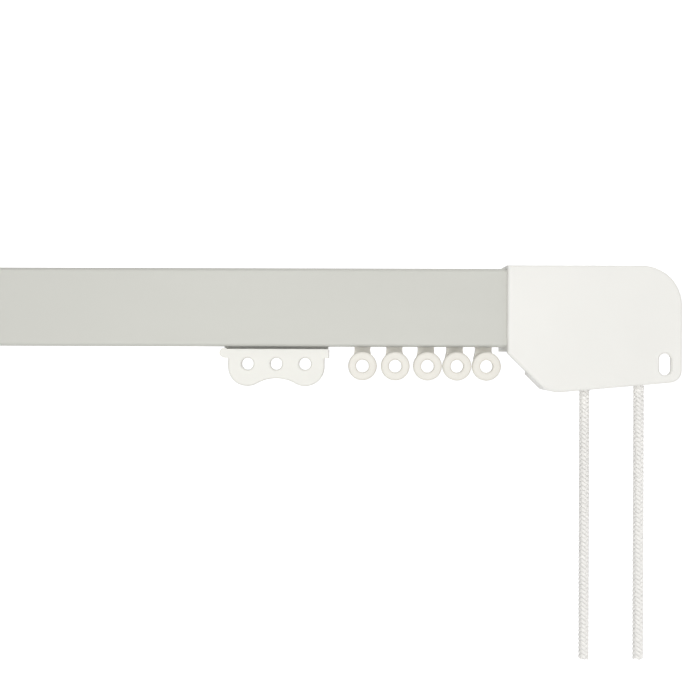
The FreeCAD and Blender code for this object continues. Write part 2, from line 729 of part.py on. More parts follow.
def make_cord():
    """The run of cord that the track holds, as a tube of straight runs and pulley arcs, and
    the two drops that hang from the housing's sole."""
    path = Part.Wire([curve.toShape() for curve in cord_path()])
    start = path.Vertexes[0].Point
    ring = Part.Wire([Part.Circle(start, Vector(0, 0, 1), size(CORD_RADIUS)).toShape()])
    run = add("Part::Feature", "draw_cord")
    run.Shape = path.makePipeShell([ring], True, True)
    expected = path.Length * math.pi * size(CORD_RADIUS) ** 2
    print(f"draw cord: {path.Length:.1f} mm long, volume {run.Shape.Volume:.1f} of {expected:.1f} mm3")
    drops = []
    for side, (way, place, end) in DROPS.items():
        top, foot = sole_level(place), f"({UNDER} - {end})"
        drops.append(rod(f"{side}_cord_drop", "z", CORD_RADIUS, (f"{END} + {place}", f"{way} * {LANE}"),
                         foot, top))
        print(f"{side} drop: {size(top) - size(foot):.1f} mm from z {size(top):.2f}")
    return [run] + drops


# Master carrier


def hook_plate_outline():
    """Corners and tangent points of the hook plate: straight sides and a waved lower edge.

    Two lobes hang under the outer holes, and a hollow arc between them is tangent to both."""
    half = "(dims.hook_plate_width / 2)"
    lobe_x = f"({half} - dims.lobe_radius)"
    lobe_z = f"({UNDER} - dims.lobe_drop)"
    dip = "(dims.valley_drop - dims.lobe_drop)"
    hollow = (f"(({lobe_x} * {lobe_x} + {dip} * {dip} - dims.lobe_radius * dims.lobe_radius)"
              f" / (2 * (dims.lobe_radius - {dip})))")
    share = f"(dims.lobe_radius / (dims.lobe_radius + {hollow}))"
    tangent_x = f"({lobe_x} * (1 - {share}))"
    tangent_z = f"({lobe_z} - ({dip} + {hollow}) * {share})"
    return half, lobe_x, lobe_z, hollow, tangent_x, tangent_z


def draw_hook_plate(sketch):
    """The waved plate: three straight sides, two lobes and the hollow between them."""
    half, lobe_x, lobe_z, hollow, tangent_x, tangent_z = hook_plate_outline()
    top, valley = BAR_TOP, f"({UNDER} - dims.valley_drop)"
    points = [(f"{CARRIER} - {half}", top), (f"{CARRIER} - {half}", lobe_z),
              (f"{CARRIER} - {tangent_x}", tangent_z), (f"{CARRIER} + {tangent_x}", tangent_z),
              (f"{CARRIER} + {half}", lobe_z), (f"{CARRIER} + {half}", top)]
    at = [Vector(size(x), size(z), 0) for x, z in points]
    lobe = size("dims.lobe_radius")
    lean = math.sqrt(0.5) * lobe
    low = [Vector(size(f"{CARRIER} {way} {lobe_x}") + sign * lean, size(lobe_z) - lean, 0)
           for way, sign in (("-", -1), ("+", 1))]
    middle = Vector(size(CARRIER), size(valley), 0)
    shapes = [Part.LineSegment(at[0], at[1]), Part.Arc(at[1], low[0], at[2]), Part.Arc(at[2], middle, at[3]),
              Part.Arc(at[3], low[1], at[4]), Part.LineSegment(at[4], at[5]), Part.LineSegment(at[5], at[0])]
    for shape in shapes:
        sketch.addGeometry(shape, False)
    # An arc runs counter-clockwise, so the hollow's start is its right end
    joints = ((0, 2, 1, 1), (1, 2, 2, 2), (2, 1, 3, 1), (3, 2, 4, 1), (4, 2, 5, 1), (5, 2, 0, 1))
    for join in joints:
        sketch.addConstraint(Sketcher.Constraint("Coincident", *join))
    held = ((0, 1), (1, 1), (1, 2), (3, 1), (4, 1), (5, 1))
    for (x, z), (line, end), place in zip(points, held, at):
        for kind, bound, value in (("DistanceX", x, place.x), ("DistanceY", z, place.y)):
            hold = sketch.addConstraint(Sketcher.Constraint(kind, -1, 1, line, end, value))
            sketch.setExpression(f"Constraints[{hold}]", bound)
    for arc, radius in ((1, "dims.lobe_radius"), (2, hollow), (3, "dims.lobe_radius")):
        hold = sketch.addConstraint(Sketcher.Constraint("Radius", arc, size(radius)))
        sketch.setExpression(f"Constraints[{hold}]", radius)


def make_carrier():
    """The moulded carrier: slider, long neck, bar, hook plate and clamp post."""
    half_bar, front = "(dims.carrier_length / 2)", "(-dims.carrier_front)"
    bar_foot = f"({BAR_TOP} - dims.carrier_bar)"
    bar = box("carrier_bar", (f"{CARRIER} - {half_bar}", f"{CARRIER} + {half_bar}"),
              (front, "dims.carrier_back"), (bar_foot, BAR_TOP))
    sketch = add("Sketcher::SketchObject", "carrier_plate_outline")
    sketch.Placement = FreeCAD.Placement(Vector(), FreeCAD.Rotation(Vector(1, 0, 0), 90))
    draw_hook_plate(sketch)
    sketch.setExpression("Placement.Base.y", front)
    plate = extrude("carrier_plate", sketch, "dims.hook_plate_thickness")
    neck = box("carrier_neck",
               (f"{CARRIER} - dims.carrier_neck_left", f"{CARRIER} + dims.carrier_neck_right"),
               ("-dims.carrier_neck_thickness / 2", "dims.carrier_neck_thickness / 2"),
               (BAR_TOP, f"{FLOOR} + dims.slide_gap"))
    head_top = f"({FLOOR} + dims.slide_gap + dims.carrier_head_height)"
    head = box("carrier_slider",
               (f"{CARRIER} - dims.carrier_head / 2", f"{CARRIER} + dims.carrier_head / 2"),
               ("-dims.carrier_head_width / 2", "dims.carrier_head_width / 2"),
               (f"{FLOOR} + dims.slide_gap", head_top))
    post = box("carrier_post", (f"{CARRIER} - dims.clamp_length / 2", f"{CARRIER} + dims.clamp_length / 2"),
               ("-dims.clamp_post_width / 2", "dims.clamp_post_width / 2"), (head_top, clamp_seat()))
    nose = rod("carrier_nose", "y", "dims.nose_radius",
               (f"{CARRIER} - {half_bar}", f"{BAR_TOP} - dims.nose_radius + dims.carrier_gap / 2"),
               front, f"{front} + dims.nose_depth")
    holes = [rod(f"carrier_hook_hole_{i}", "y", "dims.hook_hole_diameter / 2",
                 (f"{CARRIER} + {step} * dims.hook_hole_pitch", f"{UNDER} - dims.hook_hole_drop"),
                 front, f"{front} + dims.hook_plate_thickness")
             for i, step in enumerate((-1, 0, 1), start=1)]
    thread = rod("carrier_clamp_pilot", "z", "dims.screw_diameter / 2 + dims.bore_gap", (CARRIER, "0"),
                 f"{clamp_seat()} - dims.clamp_screw_reach - dims.seat_gap", clamp_seat())
    blank = fuse("carrier_blank", bar, plate, neck, head, post, nose)
    drilled = cut("carrier_drilled", blank, thread, *holes)
    face = size(front)
    middle, reach = size(CARRIER), size("dims.carrier_length / 2")
    top = size(BAR_TOP)

    def on_front(edge):
        ends = [vertex.Point for vertex in edge.Vertexes]
        flat = all(abs(p.y - face) < TINY for p in ends)
        return flat and all(p.z < top + TINY and abs(p.x - middle) < reach - TINY for p in ends)

    return round_edges("master_carrier", drilled, "dims.carrier_edge", on_front)


def clamp_seat():
    """Z of the post's top, where the clamp plate lies over the cord."""
    return f"({CORD_LEVEL} + {CORD_RADIUS} + dims.cord_gap)"


def make_clamp():
    """The cord clamp: a plate over the front lane of cord with a lip down its far side, and
    the screw that holds it to the carrier's post."""
    xs = (f"{CARRIER} - dims.clamp_length / 2", f"{CARRIER} + dims.clamp_length / 2")
    lip_inner = f"(-{LANE} - {CORD_RADIUS} - dims.cord_gap)"
    lip_outer = f"({lip_inner} - dims.clamp_lip)"
    plate_top = f"({clamp_seat()} + dims.clamp_plate)"
    plate = box("clamp_plate_blank", xs, (lip_outer, "dims.clamp_post_width / 2"), (clamp_seat(), plate_top))
    lip = box("clamp_lip_blank", xs, (lip_outer, lip_inner), (CORD_LEVEL, clamp_seat()))
    hole = rod("clamp_hole", "z", "dims.screw_diameter / 2 + dims.bore_gap", (CARRIER, "0"),
               clamp_seat(), plate_top)
    clamp = cut("carrier_cord_clamp", fuse("clamp_blank", plate, lip), hole)
    shank = rod("clamp_screw_shank", "z", "dims.screw_diameter / 2", (CARRIER, "0"),
                f"{clamp_seat()} - dims.clamp_screw_reach", plate_top)
    head = rod("clamp_screw_cap", "z", "dims.screw_head_diameter / 2", (CARRIER, "0"),
               plate_top, f"{plate_top} + dims.clamp_screw_head")
    slot = box("clamp_screw_slot", (f"{CARRIER} - dims.screw_slot / 2", f"{CARRIER} + dims.screw_slot / 2"),
               (f"-{FAR}", FAR), (f"{plate_top} + dims.clamp_screw_head / 2", f"{plate_top} + {FAR}"))
    return [clamp, cut("carrier_clamp_screw", fuse("clamp_screw_blank", shank, head), slot)]


# Gliders


def make_glider(number):
    """One glider: a slider in the channel, a neck through the slot, and an arm forwards to an eye."""
    name = f"glider_{number}"
    body = add("PartDesign::Body", name)
    half_length, half_width = "(dims.glider_head_length / 2)", "(dims.glider_head_width / 2)"
    corner = "dims.glider_head_corner"
    head_corners = [(f"{x}{half_length}", f"{y}{half_width}", corner)
                    for x, y in (("-", "-"), ("", "-"), ("", ""), ("-", ""))]
    head = body_sketch(body, f"{name}_head_outline", "XY_Plane", head_corners, f"{FLOOR} + dims.slide_gap")
    pad(body, f"{name}_head", head, "dims.glider_head_height")
    half_neck, half_foot = "(dims.glider_neck / 2)", "(dims.glider_foot / 2)"
    foot = f"({EYE_LEVEL} + dims.eye_hole / 2 + dims.glider_foot_rise)"
    waist = f"(({UNDER} * 2 + {foot}) / 3)"
    neck_top = f"({FLOOR} + dims.slide_gap)"
    half_side = [(half_neck, neck_top, None), (half_neck, waist, "dims.glider_foot_radius"),
                 (half_foot, foot, None)]
    corners = half_side + [(f"-{x}", z, radius) for x, z, radius in reversed(half_side)]
    neck = body_sketch(body, f"{name}_neck_outline", "XZ_Plane", corners, "-dims.glider_neck_thickness / 2")
    pad(body, f"{name}_neck", neck, "dims.glider_neck_thickness")
    half_arm, arm_top = "(dims.glider_arm / 2)", f"({foot} + dims.glider_arm_height)"
    arm = body_sketch(body, f"{name}_arm_outline", "XZ_Plane",
                      [(f"-{half_arm}", foot, None), (half_arm, foot, None),
                       (half_arm, arm_top, None), (f"-{half_arm}", arm_top, None)])
    pad(body, f"{name}_arm", arm, "dims.eye_front - dims.eye_thickness / 2")
    section = body_sketch(body, f"{name}_eye_section", "YZ_Plane", eye_section())
    draw_axis(section, EYE_LEVEL, "dims.eye_front")
    eye = body.newObject("PartDesign::Revolution", f"{name}_eye")
    eye.Profile = section
    eye.ReferenceAxis = (section, ["Axis0"])
    body.setExpression("Placement.Base.x", f"{END} - dims.{name}_place")
    return body


def eye_section():
    """The eye's section above its axis: a block with rounded rims, turned into a ring."""
    hole, rim = f"({EYE_LEVEL} + dims.eye_hole / 2)", f"({EYE_LEVEL} + dims.eye_diameter / 2)"
    front, back = "(-dims.eye_front)", "(dims.eye_thickness - dims.eye_front)"
    return [(front, hole, "dims.eye_hole_edge"), (back, hole, "dims.eye_hole_edge"),
            (back, rim, "dims.eye_edge"), (front, rim, "dims.eye_edge")]


def check(pieces):
    """Stops if anything in the document failed, or a piece is not a valid solid."""
    failed = [item.Name for item in doc.Objects if {"Invalid", "Error"} & set(item.State)]
    if failed:
        raise RuntimeError(f"these objects did not compute: {failed}")
    for piece in pieces:
        shape = piece.Shape
        if shape.isNull() or not shape.isValid() or not shape.Solids:
            raise RuntimeError(f"{piece.Label} is not a valid solid")


def main():
    fill_sheet()
    pieces = [make_track()]
    pieces += make_drive_housing()
    pieces += make_idler_housing()
    pieces.append(make_grub_screws())
    pieces += make_pulleys()
    pieces += make_cord()
    pieces.append(make_carrier())
    pieces += make_clamp()
    pieces += [make_glider(number) for number in GLIDERS]
    doc.recompute()
    check(pieces)
    os.makedirs("parts", exist_ok=True)
    for piece in pieces:
        piece.Shape.exportStep(f"parts/{piece.Label}.step")
        print(f"{piece.Label}: {len(piece.Shape.Solids)} solid(s), {piece.Shape.Volume:.1f} mm3")


main()
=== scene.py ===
"""Dresses the corded curtain track: finishes for every moulded, extruded and turned piece, the two
braided cord drops, and a plain white studio with the camera in front of the rail."""

import math

import bpy
import numpy as np
from mathutils import Matrix, Vector


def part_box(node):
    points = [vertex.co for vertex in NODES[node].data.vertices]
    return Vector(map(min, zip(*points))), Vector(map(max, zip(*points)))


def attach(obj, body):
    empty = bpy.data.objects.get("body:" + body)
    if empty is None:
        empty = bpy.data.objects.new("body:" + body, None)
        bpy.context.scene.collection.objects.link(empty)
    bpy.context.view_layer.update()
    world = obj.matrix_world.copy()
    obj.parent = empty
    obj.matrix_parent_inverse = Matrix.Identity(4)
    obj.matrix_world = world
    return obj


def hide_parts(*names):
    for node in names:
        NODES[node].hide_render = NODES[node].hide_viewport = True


bl_info = {
    "name": "Corded Curtain Track",
    "version": (1, 0, 0),
    "blender": (4, 5, 0),
    "location": "3D View > Sidebar > Curtain Track",
    "description": "Finishes, braided cords and studio for a corded curtain track",
    "category": "Object",
}

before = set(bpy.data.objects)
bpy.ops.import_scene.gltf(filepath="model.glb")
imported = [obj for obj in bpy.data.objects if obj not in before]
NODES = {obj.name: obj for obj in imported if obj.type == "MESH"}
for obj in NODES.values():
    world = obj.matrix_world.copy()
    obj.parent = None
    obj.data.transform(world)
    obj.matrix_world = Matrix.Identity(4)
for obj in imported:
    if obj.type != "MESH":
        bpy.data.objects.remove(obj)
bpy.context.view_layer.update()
RAIL_LOW, RAIL_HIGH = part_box("track_profile")

MM = 0.001
ROOT_BODY = "track"
HOUSING_NODES = ("drive_housing_front", "drive_housing_rear", "idler_housing_front", "idler_housing_rear")
CARRIER_NODES = ("master_carrier", "carrier_cord_clamp")
GLIDER_NODES = tuple(name for name in NODES if name.startswith("glider_"))
PULLEY_NODES = ("drive_pulley_front", "drive_pulley_rear", "idler_pulley")
SCREW_NODES = ("drive_housing_screws", "idler_housing_screws", "carrier_clamp_screw", "tongue_grub_screws")
AXLE_NODES = ("drive_axle_front", "drive_axle_rear", "idler_axle")
DROP_NODES = ("front_cord_drop", "rear_cord_drop")


def linear(code):
    """An sRGB hex colour as linear RGB."""
    levels = [int(code[i:i + 2], 16) / 255 for i in (0, 2, 4)]
    return tuple(v / 12.92 if v <= 0.04045 else ((v + 0.055) / 1.055) ** 2.4 for v in levels)


def colour(name, description, code):
    """A colour property whose default is an sRGB hex value."""
    return bpy.props.FloatVectorProperty(name=name, description=description, subtype="COLOR", size=3,
                                         min=0, max=1, default=linear(code))


def length(name, description, millimetres):
    """A length property whose default is given in millimetres."""
    return bpy.props.FloatProperty(name=name, description=description, subtype="DISTANCE", unit="LENGTH",
                                   precision=5, default=millimetres * MM)


class FinishSettings(bpy.types.PropertyGroup):
    """Colours of the track's materials."""

    rail: colour("Rail", "Satin anodised aluminium of the rail", "BBBBB5")
    housing: colour("Housings", "Moulded white plastic of the end housings", "F0EFEA")
    carrier: colour("Carrier", "White plastic of the master carrier and its clamp", "E9E8E1")
    glider: colour("Gliders", "Creamy plastic of the gliders", "E9E6DD")
    pulley: colour("Pulleys", "White acetal of the pulleys", "EEEDE8")
    steel: colour("Steel", "Zinc-plated screws and axles", "B9BABC")
    yarn: colour("Yarn", "Braided polyester cord", "FAF8F4")


class CordSettings(bpy.types.PropertyGroup):
    """Make-up of the braided cord."""

    strands_each_way: bpy.props.IntProperty(name="Strands each way", min=2, max=12, step=2, default=4,
                                            description="Even number of strands that wind each way")
    lead: length("Lead", "Length along the cord in which a strand goes once round", 5.05)
    strand_width: length("Strand width", "Width of one flattened strand", 1.03)
    strand_height: length("Strand height", "Thickness of one flattened strand", 0.62)
    swell: length("Swell", "How far a strand rises over and dips under the others", 0.29)
    puff: length("Puff", "How far the fibres stand out beyond the cord's nominal size", 0.16)
    filament: length("Filament", "Spacing of the filaments drawn on a strand", 0.13)


class StageSettings(bpy.types.PropertyGroup):
    """Camera and light."""

    aim_right: length("Aim right", "Where the camera aims, along the rail", 65.81)
    aim_up: length("Aim up", "Where the camera aims, above the rail's top", -23.11)
    distance: length("Distance", "From the camera to the rail's front", 274.3)
    lens: bpy.props.FloatProperty(name="Lens", description="Focal length on a 36 mm sensor", default=50)
    yaw: bpy.props.FloatProperty(name="Yaw", description="Turn of the camera to the left",
                                 subtype="ANGLE", default=math.radians(0.445))
    roll: bpy.props.FloatProperty(name="Roll", description="Tilt of the camera about its axis",
                                  subtype="ANGLE", default=math.radians(0.186))
    floor_drop: length("Floor drop", "From the rail's top down to the floor", 500)
    room_light: bpy.props.FloatProperty(name="Room light", description="Even light from all sides",
                                        default=0.3)
    key_power: bpy.props.FloatProperty(name="Key light", description="Soft lamp in front",
                                       subtype="POWER", default=5.65)
    top_power: bpy.props.FloatProperty(name="Top light", description="Soft lamp overhead",
                                       subtype="POWER", default=2.4)
    back_power: bpy.props.FloatProperty(name="Back light", description="Soft lamp behind the rail",
                                        subtype="POWER", default=5.0)


class TrackSettings(bpy.types.PropertyGroup):
    """All settings of the track, kept on the scene."""

    finish: bpy.props.PointerProperty(type=FinishSettings)
    cord: bpy.props.PointerProperty(type=CordSettings)
    stage: bpy.props.PointerProperty(type=StageSettings)


def add_node(tree, kind, values=None, links=None, **settings):
    """Adds a node, sets its properties and sockets, and links sources to its sockets."""
    item = tree.nodes.new(kind)
    for key, value in settings.items():
        setattr(item, key, value)
    for socket, value in (values or {}).items():
        item.inputs[socket].default_value = value
    for socket, source in (links or {}).items():
        tree.links.new(source, item.inputs[socket])
    return item


def start_material(name, values):
    """A material with its Principled shader's constant sockets set."""
    material = bpy.data.materials.new(name)
    material.use_nodes = True
    tree = material.node_tree
    shader = tree.nodes["Principled BSDF"]
    for socket, value in values.items():
        shader.inputs[socket].default_value = value
    return material, tree, shader


def per_metre(millimetres):
    """The scale of a noise texture whose features are that far apart."""
    return 1 / (millimetres * MM)


def shade(base, amount):
    """A colour made lighter or darker by a share, with alpha."""
    return tuple(min(1, channel * amount) for channel in base) + (1,)


def dress(names, material):
    """Gives a material to CAD nodes, in every slot they have."""
    for name in names:
        slots = NODES[name].data.materials
        slots.clear()
        slots.append(material)


def anodised_aluminium(base):
    """Extruded aluminium, etched and clear anodised.

    The etch leaves a fine even grain that scatters light, and the die leaves faint lines along the
    extrusion, which the eye reads as a soft drawn sheen. Real grain is some hundredths of a
    millimetre, too fine to show, so it is drawn about ten times coarser."""
    grain_mm, die_line_mm, die_run_mm, cloud_mm, etch_depth_mm = 0.45, 0.5, 60, 45, 0.02
    line_share, grain_share, cloud_share = 0.45, 0.4, 0.15
    darkest, lightest = 0.94, 1.06
    smoothest, roughest = 0.6, 0.72
    material, tree, shader = start_material("Anodised aluminium, satin extruded",
                                            {"Metallic": 0.45, "Roughness": (smoothest + roughest) / 2})
    place = add_node(tree, "ShaderNodeTexCoord").outputs["Object"]
    stretch = add_node(tree, "ShaderNodeMapping", {"Scale": (die_line_mm / die_run_mm, 1, 1)},
                       {"Vector": place})
    lines = add_node(tree, "ShaderNodeTexNoise",
                     {"Scale": per_metre(die_line_mm), "Detail": 3, "Roughness": 0.6},
                     {"Vector": stretch.outputs["Vector"]})
    grain = add_node(tree, "ShaderNodeTexNoise",
                     {"Scale": per_metre(grain_mm), "Detail": 2, "Roughness": 0.7}, {"Vector": place})
    cloud = add_node(tree, "ShaderNodeTexNoise", {"Scale": per_metre(cloud_mm), "Detail": 2},
                     {"Vector": place})
    drawn = add_node(tree, "ShaderNodeMath", {1: line_share}, {0: lines.outputs["Fac"]},
                     operation="MULTIPLY")
    grained = add_node(tree, "ShaderNodeMath", {1: grain_share},
                       {0: grain.outputs["Fac"], 2: drawn.outputs[0]}, operation="MULTIPLY_ADD")
    clouded = add_node(tree, "ShaderNodeMath", {1: cloud_share},
                       {0: cloud.outputs["Fac"], 2: grained.outputs[0]}, operation="MULTIPLY_ADD")
    skin = clouded.outputs[0]
    tint = add_node(tree, "ShaderNodeMix", {"A": shade(base, darkest), "B": shade(base, lightest)},
                    {"Factor": skin}, data_type="RGBA")
    sheen = add_node(tree, "ShaderNodeMapRange", {"From Min": 0.25, "From Max": 0.75,
                                                  "To Min": smoothest, "To Max": roughest}, {"Value": skin})
    relief = add_node(tree, "ShaderNodeBump", {"Strength": 0.12, "Distance": etch_depth_mm * MM},
                      {"Height": skin})
    tree.links.new(tint.outputs["Result"], shader.inputs["Base Color"])
    tree.links.new(sheen.outputs["Result"], shader.inputs["Roughness"])
    tree.links.new(relief.outputs["Normal"], shader.inputs["Normal"])
    return material


def moulded_plastic(name, base, roughness, grit_mm, relief_mm, cloud_mm):
    """Injection-moulded plastic with a spark-eroded skin.

    The eroded tool leaves a fine pebbled grit that breaks up the gloss, and the melt leaves slow,
    faint clouds of tone. Real grit is under 0.1 mm, too fine to show, so it is drawn coarser."""
    darkest, lightest, gloss_spread = 0.975, 1.02, 0.07
    material, tree, shader = start_material(name, {"Roughness": roughness, "IOR": 1.49,
                                                   "Specular IOR Level": 0.3})
    place = add_node(tree, "ShaderNodeTexCoord").outputs["Object"]
    grit = add_node(tree, "ShaderNodeTexNoise",
                    {"Scale": per_metre(grit_mm), "Detail": 3, "Roughness": 0.6}, {"Vector": place})
    cloud = add_node(tree, "ShaderNodeTexNoise", {"Scale": per_metre(cloud_mm), "Detail": 2},
                     {"Vector": place})
    tint = add_node(tree, "ShaderNodeMix", {"A": shade(base, darkest), "B": shade(base, lightest)},
                    {"Factor": cloud.outputs["Fac"]}, data_type="RGBA")
    gloss = add_node(tree, "ShaderNodeMapRange", {"From Min": 0.3, "From Max": 0.7,
                                                  "To Min": roughness - gloss_spread,
                                                  "To Max": roughness + gloss_spread},
                     {"Value": grit.outputs["Fac"]})
    relief = add_node(tree, "ShaderNodeBump", {"Strength": 0.25, "Distance": relief_mm * MM},
                      {"Height": grit.outputs["Fac"]})
    tree.links.new(tint.outputs["Result"], shader.inputs["Base Color"])
    tree.links.new(gloss.outputs["Result"], shader.inputs["Roughness"])
    tree.links.new(relief.outputs["Normal"], shader.inputs["Normal"])
    return material


def zinc_plated_steel(base):
    """Turned steel with bright zinc plating: fine tool marks and a slightly mottled, cool shine."""
    tool_mark_mm, mark_depth_mm, mottle_mm = 0.12, 0.01, 1.6
    darkest, lightest = 0.85, 1.1
    smoothest, roughest = 0.22, 0.4
    material, tree, shader = start_material("Zinc-plated steel, turned", {"Metallic": 1, "Roughness": 0.3})
    place = add_node(tree, "ShaderNodeTexCoord").outputs["Object"]
    marks = add_node(tree, "ShaderNodeTexNoise", {"Scale": per_metre(tool_mark_mm), "Detail": 2},
                     {"Vector": place})
    mottle = add_node(tree, "ShaderNodeTexNoise", {"Scale": per_metre(mottle_mm), "Detail": 3},
                      {"Vector": place})
    tint = add_node(tree, "ShaderNodeMix", {"A": shade(base, darkest), "B": shade(base, lightest)},
                    {"Factor": mottle.outputs["Fac"]}, data_type="RGBA")
    gloss = add_node(tree, "ShaderNodeMapRange", {"To Min": smoothest, "To Max": roughest},
                     {"Value": marks.outputs["Fac"]})
    relief = add_node(tree, "ShaderNodeBump", {"Strength": 0.2, "Distance": mark_depth_mm * MM},
                      {"Height": marks.outputs["Fac"]})
    tree.links.new(tint.outputs["Result"], shader.inputs["Base Color"])
    tree.links.new(gloss.outputs["Result"], shader.inputs["Roughness"])
    tree.links.new(relief.outputs["Normal"], shader.inputs["Normal"])
    return material


def polyester_yarn(base, filament):
    """Multifilament polyester yarn, braided.

    Each strand is a bundle of bright parallel filaments, so its tone runs in fine lines along it,
    one strand is a little greyer than the next, and shade is painted where it dives under its neighbours.
    Real filaments are about 0.03 mm thick, too fine to show, so they are drawn several times coarser."""
    filament_depth_mm, line_slenderness = 0.05, 30
    darkest, lightest = 0.975, 1.03
    greyest_strand, painted_shade_under = 0.97, 0.72
    material, tree, shader = start_material("Polyester yarn, braided", {"Roughness": 0.6, "IOR": 1.5,
                                                                         "Sheen Weight": 1.0,
                                                                         "Sheen Roughness": 0.5})
    along = add_node(tree, "ShaderNodeUVMap", uv_map="Yarn").outputs["UV"]
    depth = add_node(tree, "ShaderNodeAttribute", attribute_name="depth").outputs["Fac"]
    tone = add_node(tree, "ShaderNodeAttribute", attribute_name="tone").outputs["Fac"]
    stretch = add_node(tree, "ShaderNodeMapping", {"Scale": (1 / line_slenderness, 1, 1)},
                       {"Vector": along})
    lines = add_node(tree, "ShaderNodeTexNoise", {"Scale": 1 / filament, "Detail": 2, "Roughness": 0.5},
                     {"Vector": stretch.outputs["Vector"]})
    crisp = add_node(tree, "ShaderNodeMapRange", {"From Min": 0.35, "From Max": 0.65},
                     {"Value": lines.outputs["Fac"]})
    yarn = add_node(tree, "ShaderNodeMix", {"A": shade(base, darkest), "B": shade(base, lightest)},
                    {"Factor": crisp.outputs["Result"]}, data_type="RGBA")
    varied = add_node(tree, "ShaderNodeMix", {"B": shade(base, greyest_strand)},
                      {"Factor": tone, "A": yarn.outputs["Result"]}, data_type="RGBA")
    # Painted shade: where the depth attribute says a strand dives under its neighbours, its colour is
    # darkened to 0.72 of the yarn's.
    shaded_under = add_node(tree, "ShaderNodeMix", {"B": shade(base, painted_shade_under)},
                    {"Factor": depth, "A": varied.outputs["Result"]}, data_type="RGBA")
    relief = add_node(tree, "ShaderNodeBump", {"Strength": 0.2, "Distance": filament_depth_mm * MM},
                      {"Height": crisp.outputs["Result"]})
    tree.links.new(shaded_under.outputs["Result"], shader.inputs["Base Color"])
    tree.links.new(relief.outputs["Normal"], shader.inputs["Normal"])
    return material


def inner_cord_cover(base, lead):
    """The same braided polyester on the run inside the rail, where little of it is seen.

    Its strands show as slanting ridges, half a lead apart along the rail, with shade painted between them.
    A diagonal wave texture of scale 1 has a period of 2 pi / 10 along each axis."""
    ridges_in_lead, ridge_height_mm, groove_painted_shade = 2, 0.12, 0.72
    wave_period = 2 * math.pi / 10
    material, tree, shader = start_material("Polyester cord, braided cover", {"Roughness": 0.62, "IOR": 1.5})
    place = add_node(tree, "ShaderNodeTexCoord").outputs["Object"]
    ridges = add_node(tree, "ShaderNodeTexWave",
                      {"Scale": wave_period * ridges_in_lead / lead, "Distortion": 0.6},
                      {"Vector": place}, wave_type="BANDS", bands_direction="DIAGONAL")
    # Painted shade: the grooves between the ridges are darkened to 0.72 of the yarn's colour.
    tint = add_node(tree, "ShaderNodeMix", {"A": shade(base, groove_painted_shade), "B": shade(base, 1.0)},
                    {"Factor": ridges.outputs["Fac"]}, data_type="RGBA")
    relief = add_node(tree, "ShaderNodeBump", {"Strength": 0.6, "Distance": ridge_height_mm * MM},
                      {"Height": ridges.outputs["Fac"]})
    tree.links.new(tint.outputs["Result"], shader.inputs["Base Color"])
    tree.links.new(relief.outputs["Normal"], shader.inputs["Normal"])
    return material


def route_line(points):
    """Points along a NURBS spline of order 3 that has the route's points as its control points."""
    curve = bpy.data.curves.new("cord_route", "CURVE")
    curve.dimensions = "3D"
    curve.resolution_u = 48
    spline = curve.splines.new("NURBS")
    spline.points.add(len(points) - 1)
    for held, place in zip(spline.points, points):
        held.co = (*place, 1)
    spline.order_u = 3
    spline.use_endpoint_u = True
    carrier = bpy.data.objects.new("cord_route", curve)
    mesh = bpy.data.meshes.new_from_object(carrier)
    line = np.empty(len(mesh.vertices) * 3)
    mesh.vertices.foreach_get("co", line)
    bpy.data.objects.remove(carrier)
    bpy.data.curves.remove(curve)
    bpy.data.meshes.remove(mesh)
    return line.reshape(-1, 3)


def even_steps(line, count):
    """The line cut into even steps by its length, with the distance run at each point."""
    run = np.concatenate(([0], np.cumsum(np.linalg.norm(np.diff(line, axis=0), axis=1))))
    wanted = np.linspace(0, run[-1], count)
    return np.stack([np.interp(wanted, run, line[:, axis]) for axis in range(3)], axis=1), wanted


def unit(vectors):
    """Vectors at length 1, along the last axis."""
    return vectors / np.linalg.norm(vectors, axis=-1, keepdims=True)


def braid_surface(line, settings, radius):
    """Skins of a round braid's strands, two over two under, with the way along the cord and the lift.

    Strand k winds at azimuth a = c + h + 2 pi k / n + s 2 pi u / lead, where u is the way along the
    cord, n the strands each way, and s is +1 for half of the strands and -1 for the others. Its lift is
    w = s sin(pi / 2 cos(n / 2 (a - c))) and its distance from the cord's axis is mean + swell w, so the
    two sets lie on top by turns, in n fixed columns of which one is centred on azimuth c. The strands
    cross every pi / n, and h is half of that, so no crossing falls where two columns meet. A strand's
    skin is a flattened ring about that line: half width cos(p) across, half height sin(p) outwards."""
    count = settings.strands_each_way
    steps_in_lead, around = 36, 10
    column = np.radians(22)
    halfway = np.pi / (2 * count)
    total = np.linalg.norm(np.diff(line, axis=0), axis=1).sum()
    places, run = even_steps(line, int(total / settings.lead * steps_in_lead))
    ahead = unit(np.gradient(places, axis=0))
    across = unit(np.cross(ahead, (0, 1, 0)))
    outward = np.cross(ahead, across)
    mean = radius + settings.puff - settings.swell - settings.strand_height / 2
    way = np.repeat((1.0, -1.0), count)[:, None]
    start = np.tile(np.arange(count) * 2 * np.pi / count, 2)[:, None]
    azimuth = start + way * run / settings.lead * 2 * np.pi + column + halfway
    lift = way * np.sin(np.pi / 2 * np.cos(count / 2 * (azimuth - column)))
    distance = mean + settings.swell * lift
    radial = np.cos(azimuth)[..., None] * across + np.sin(azimuth)[..., None] * outward
    centre = places + distance[..., None] * radial
    forward = unit(np.gradient(centre, axis=1))
    side = unit(np.cross(forward, radial))
    turn = np.arange(around) * 2 * np.pi / around
    wide = settings.strand_width / 2 * np.cos(turn)
    high = settings.strand_height / 2 * np.sin(turn)
    skin = (centre[:, :, None] + wide[:, None] * side[:, :, None]
            + high[:, None] * unit(np.cross(side, forward))[:, :, None])
    return skin, run, lift


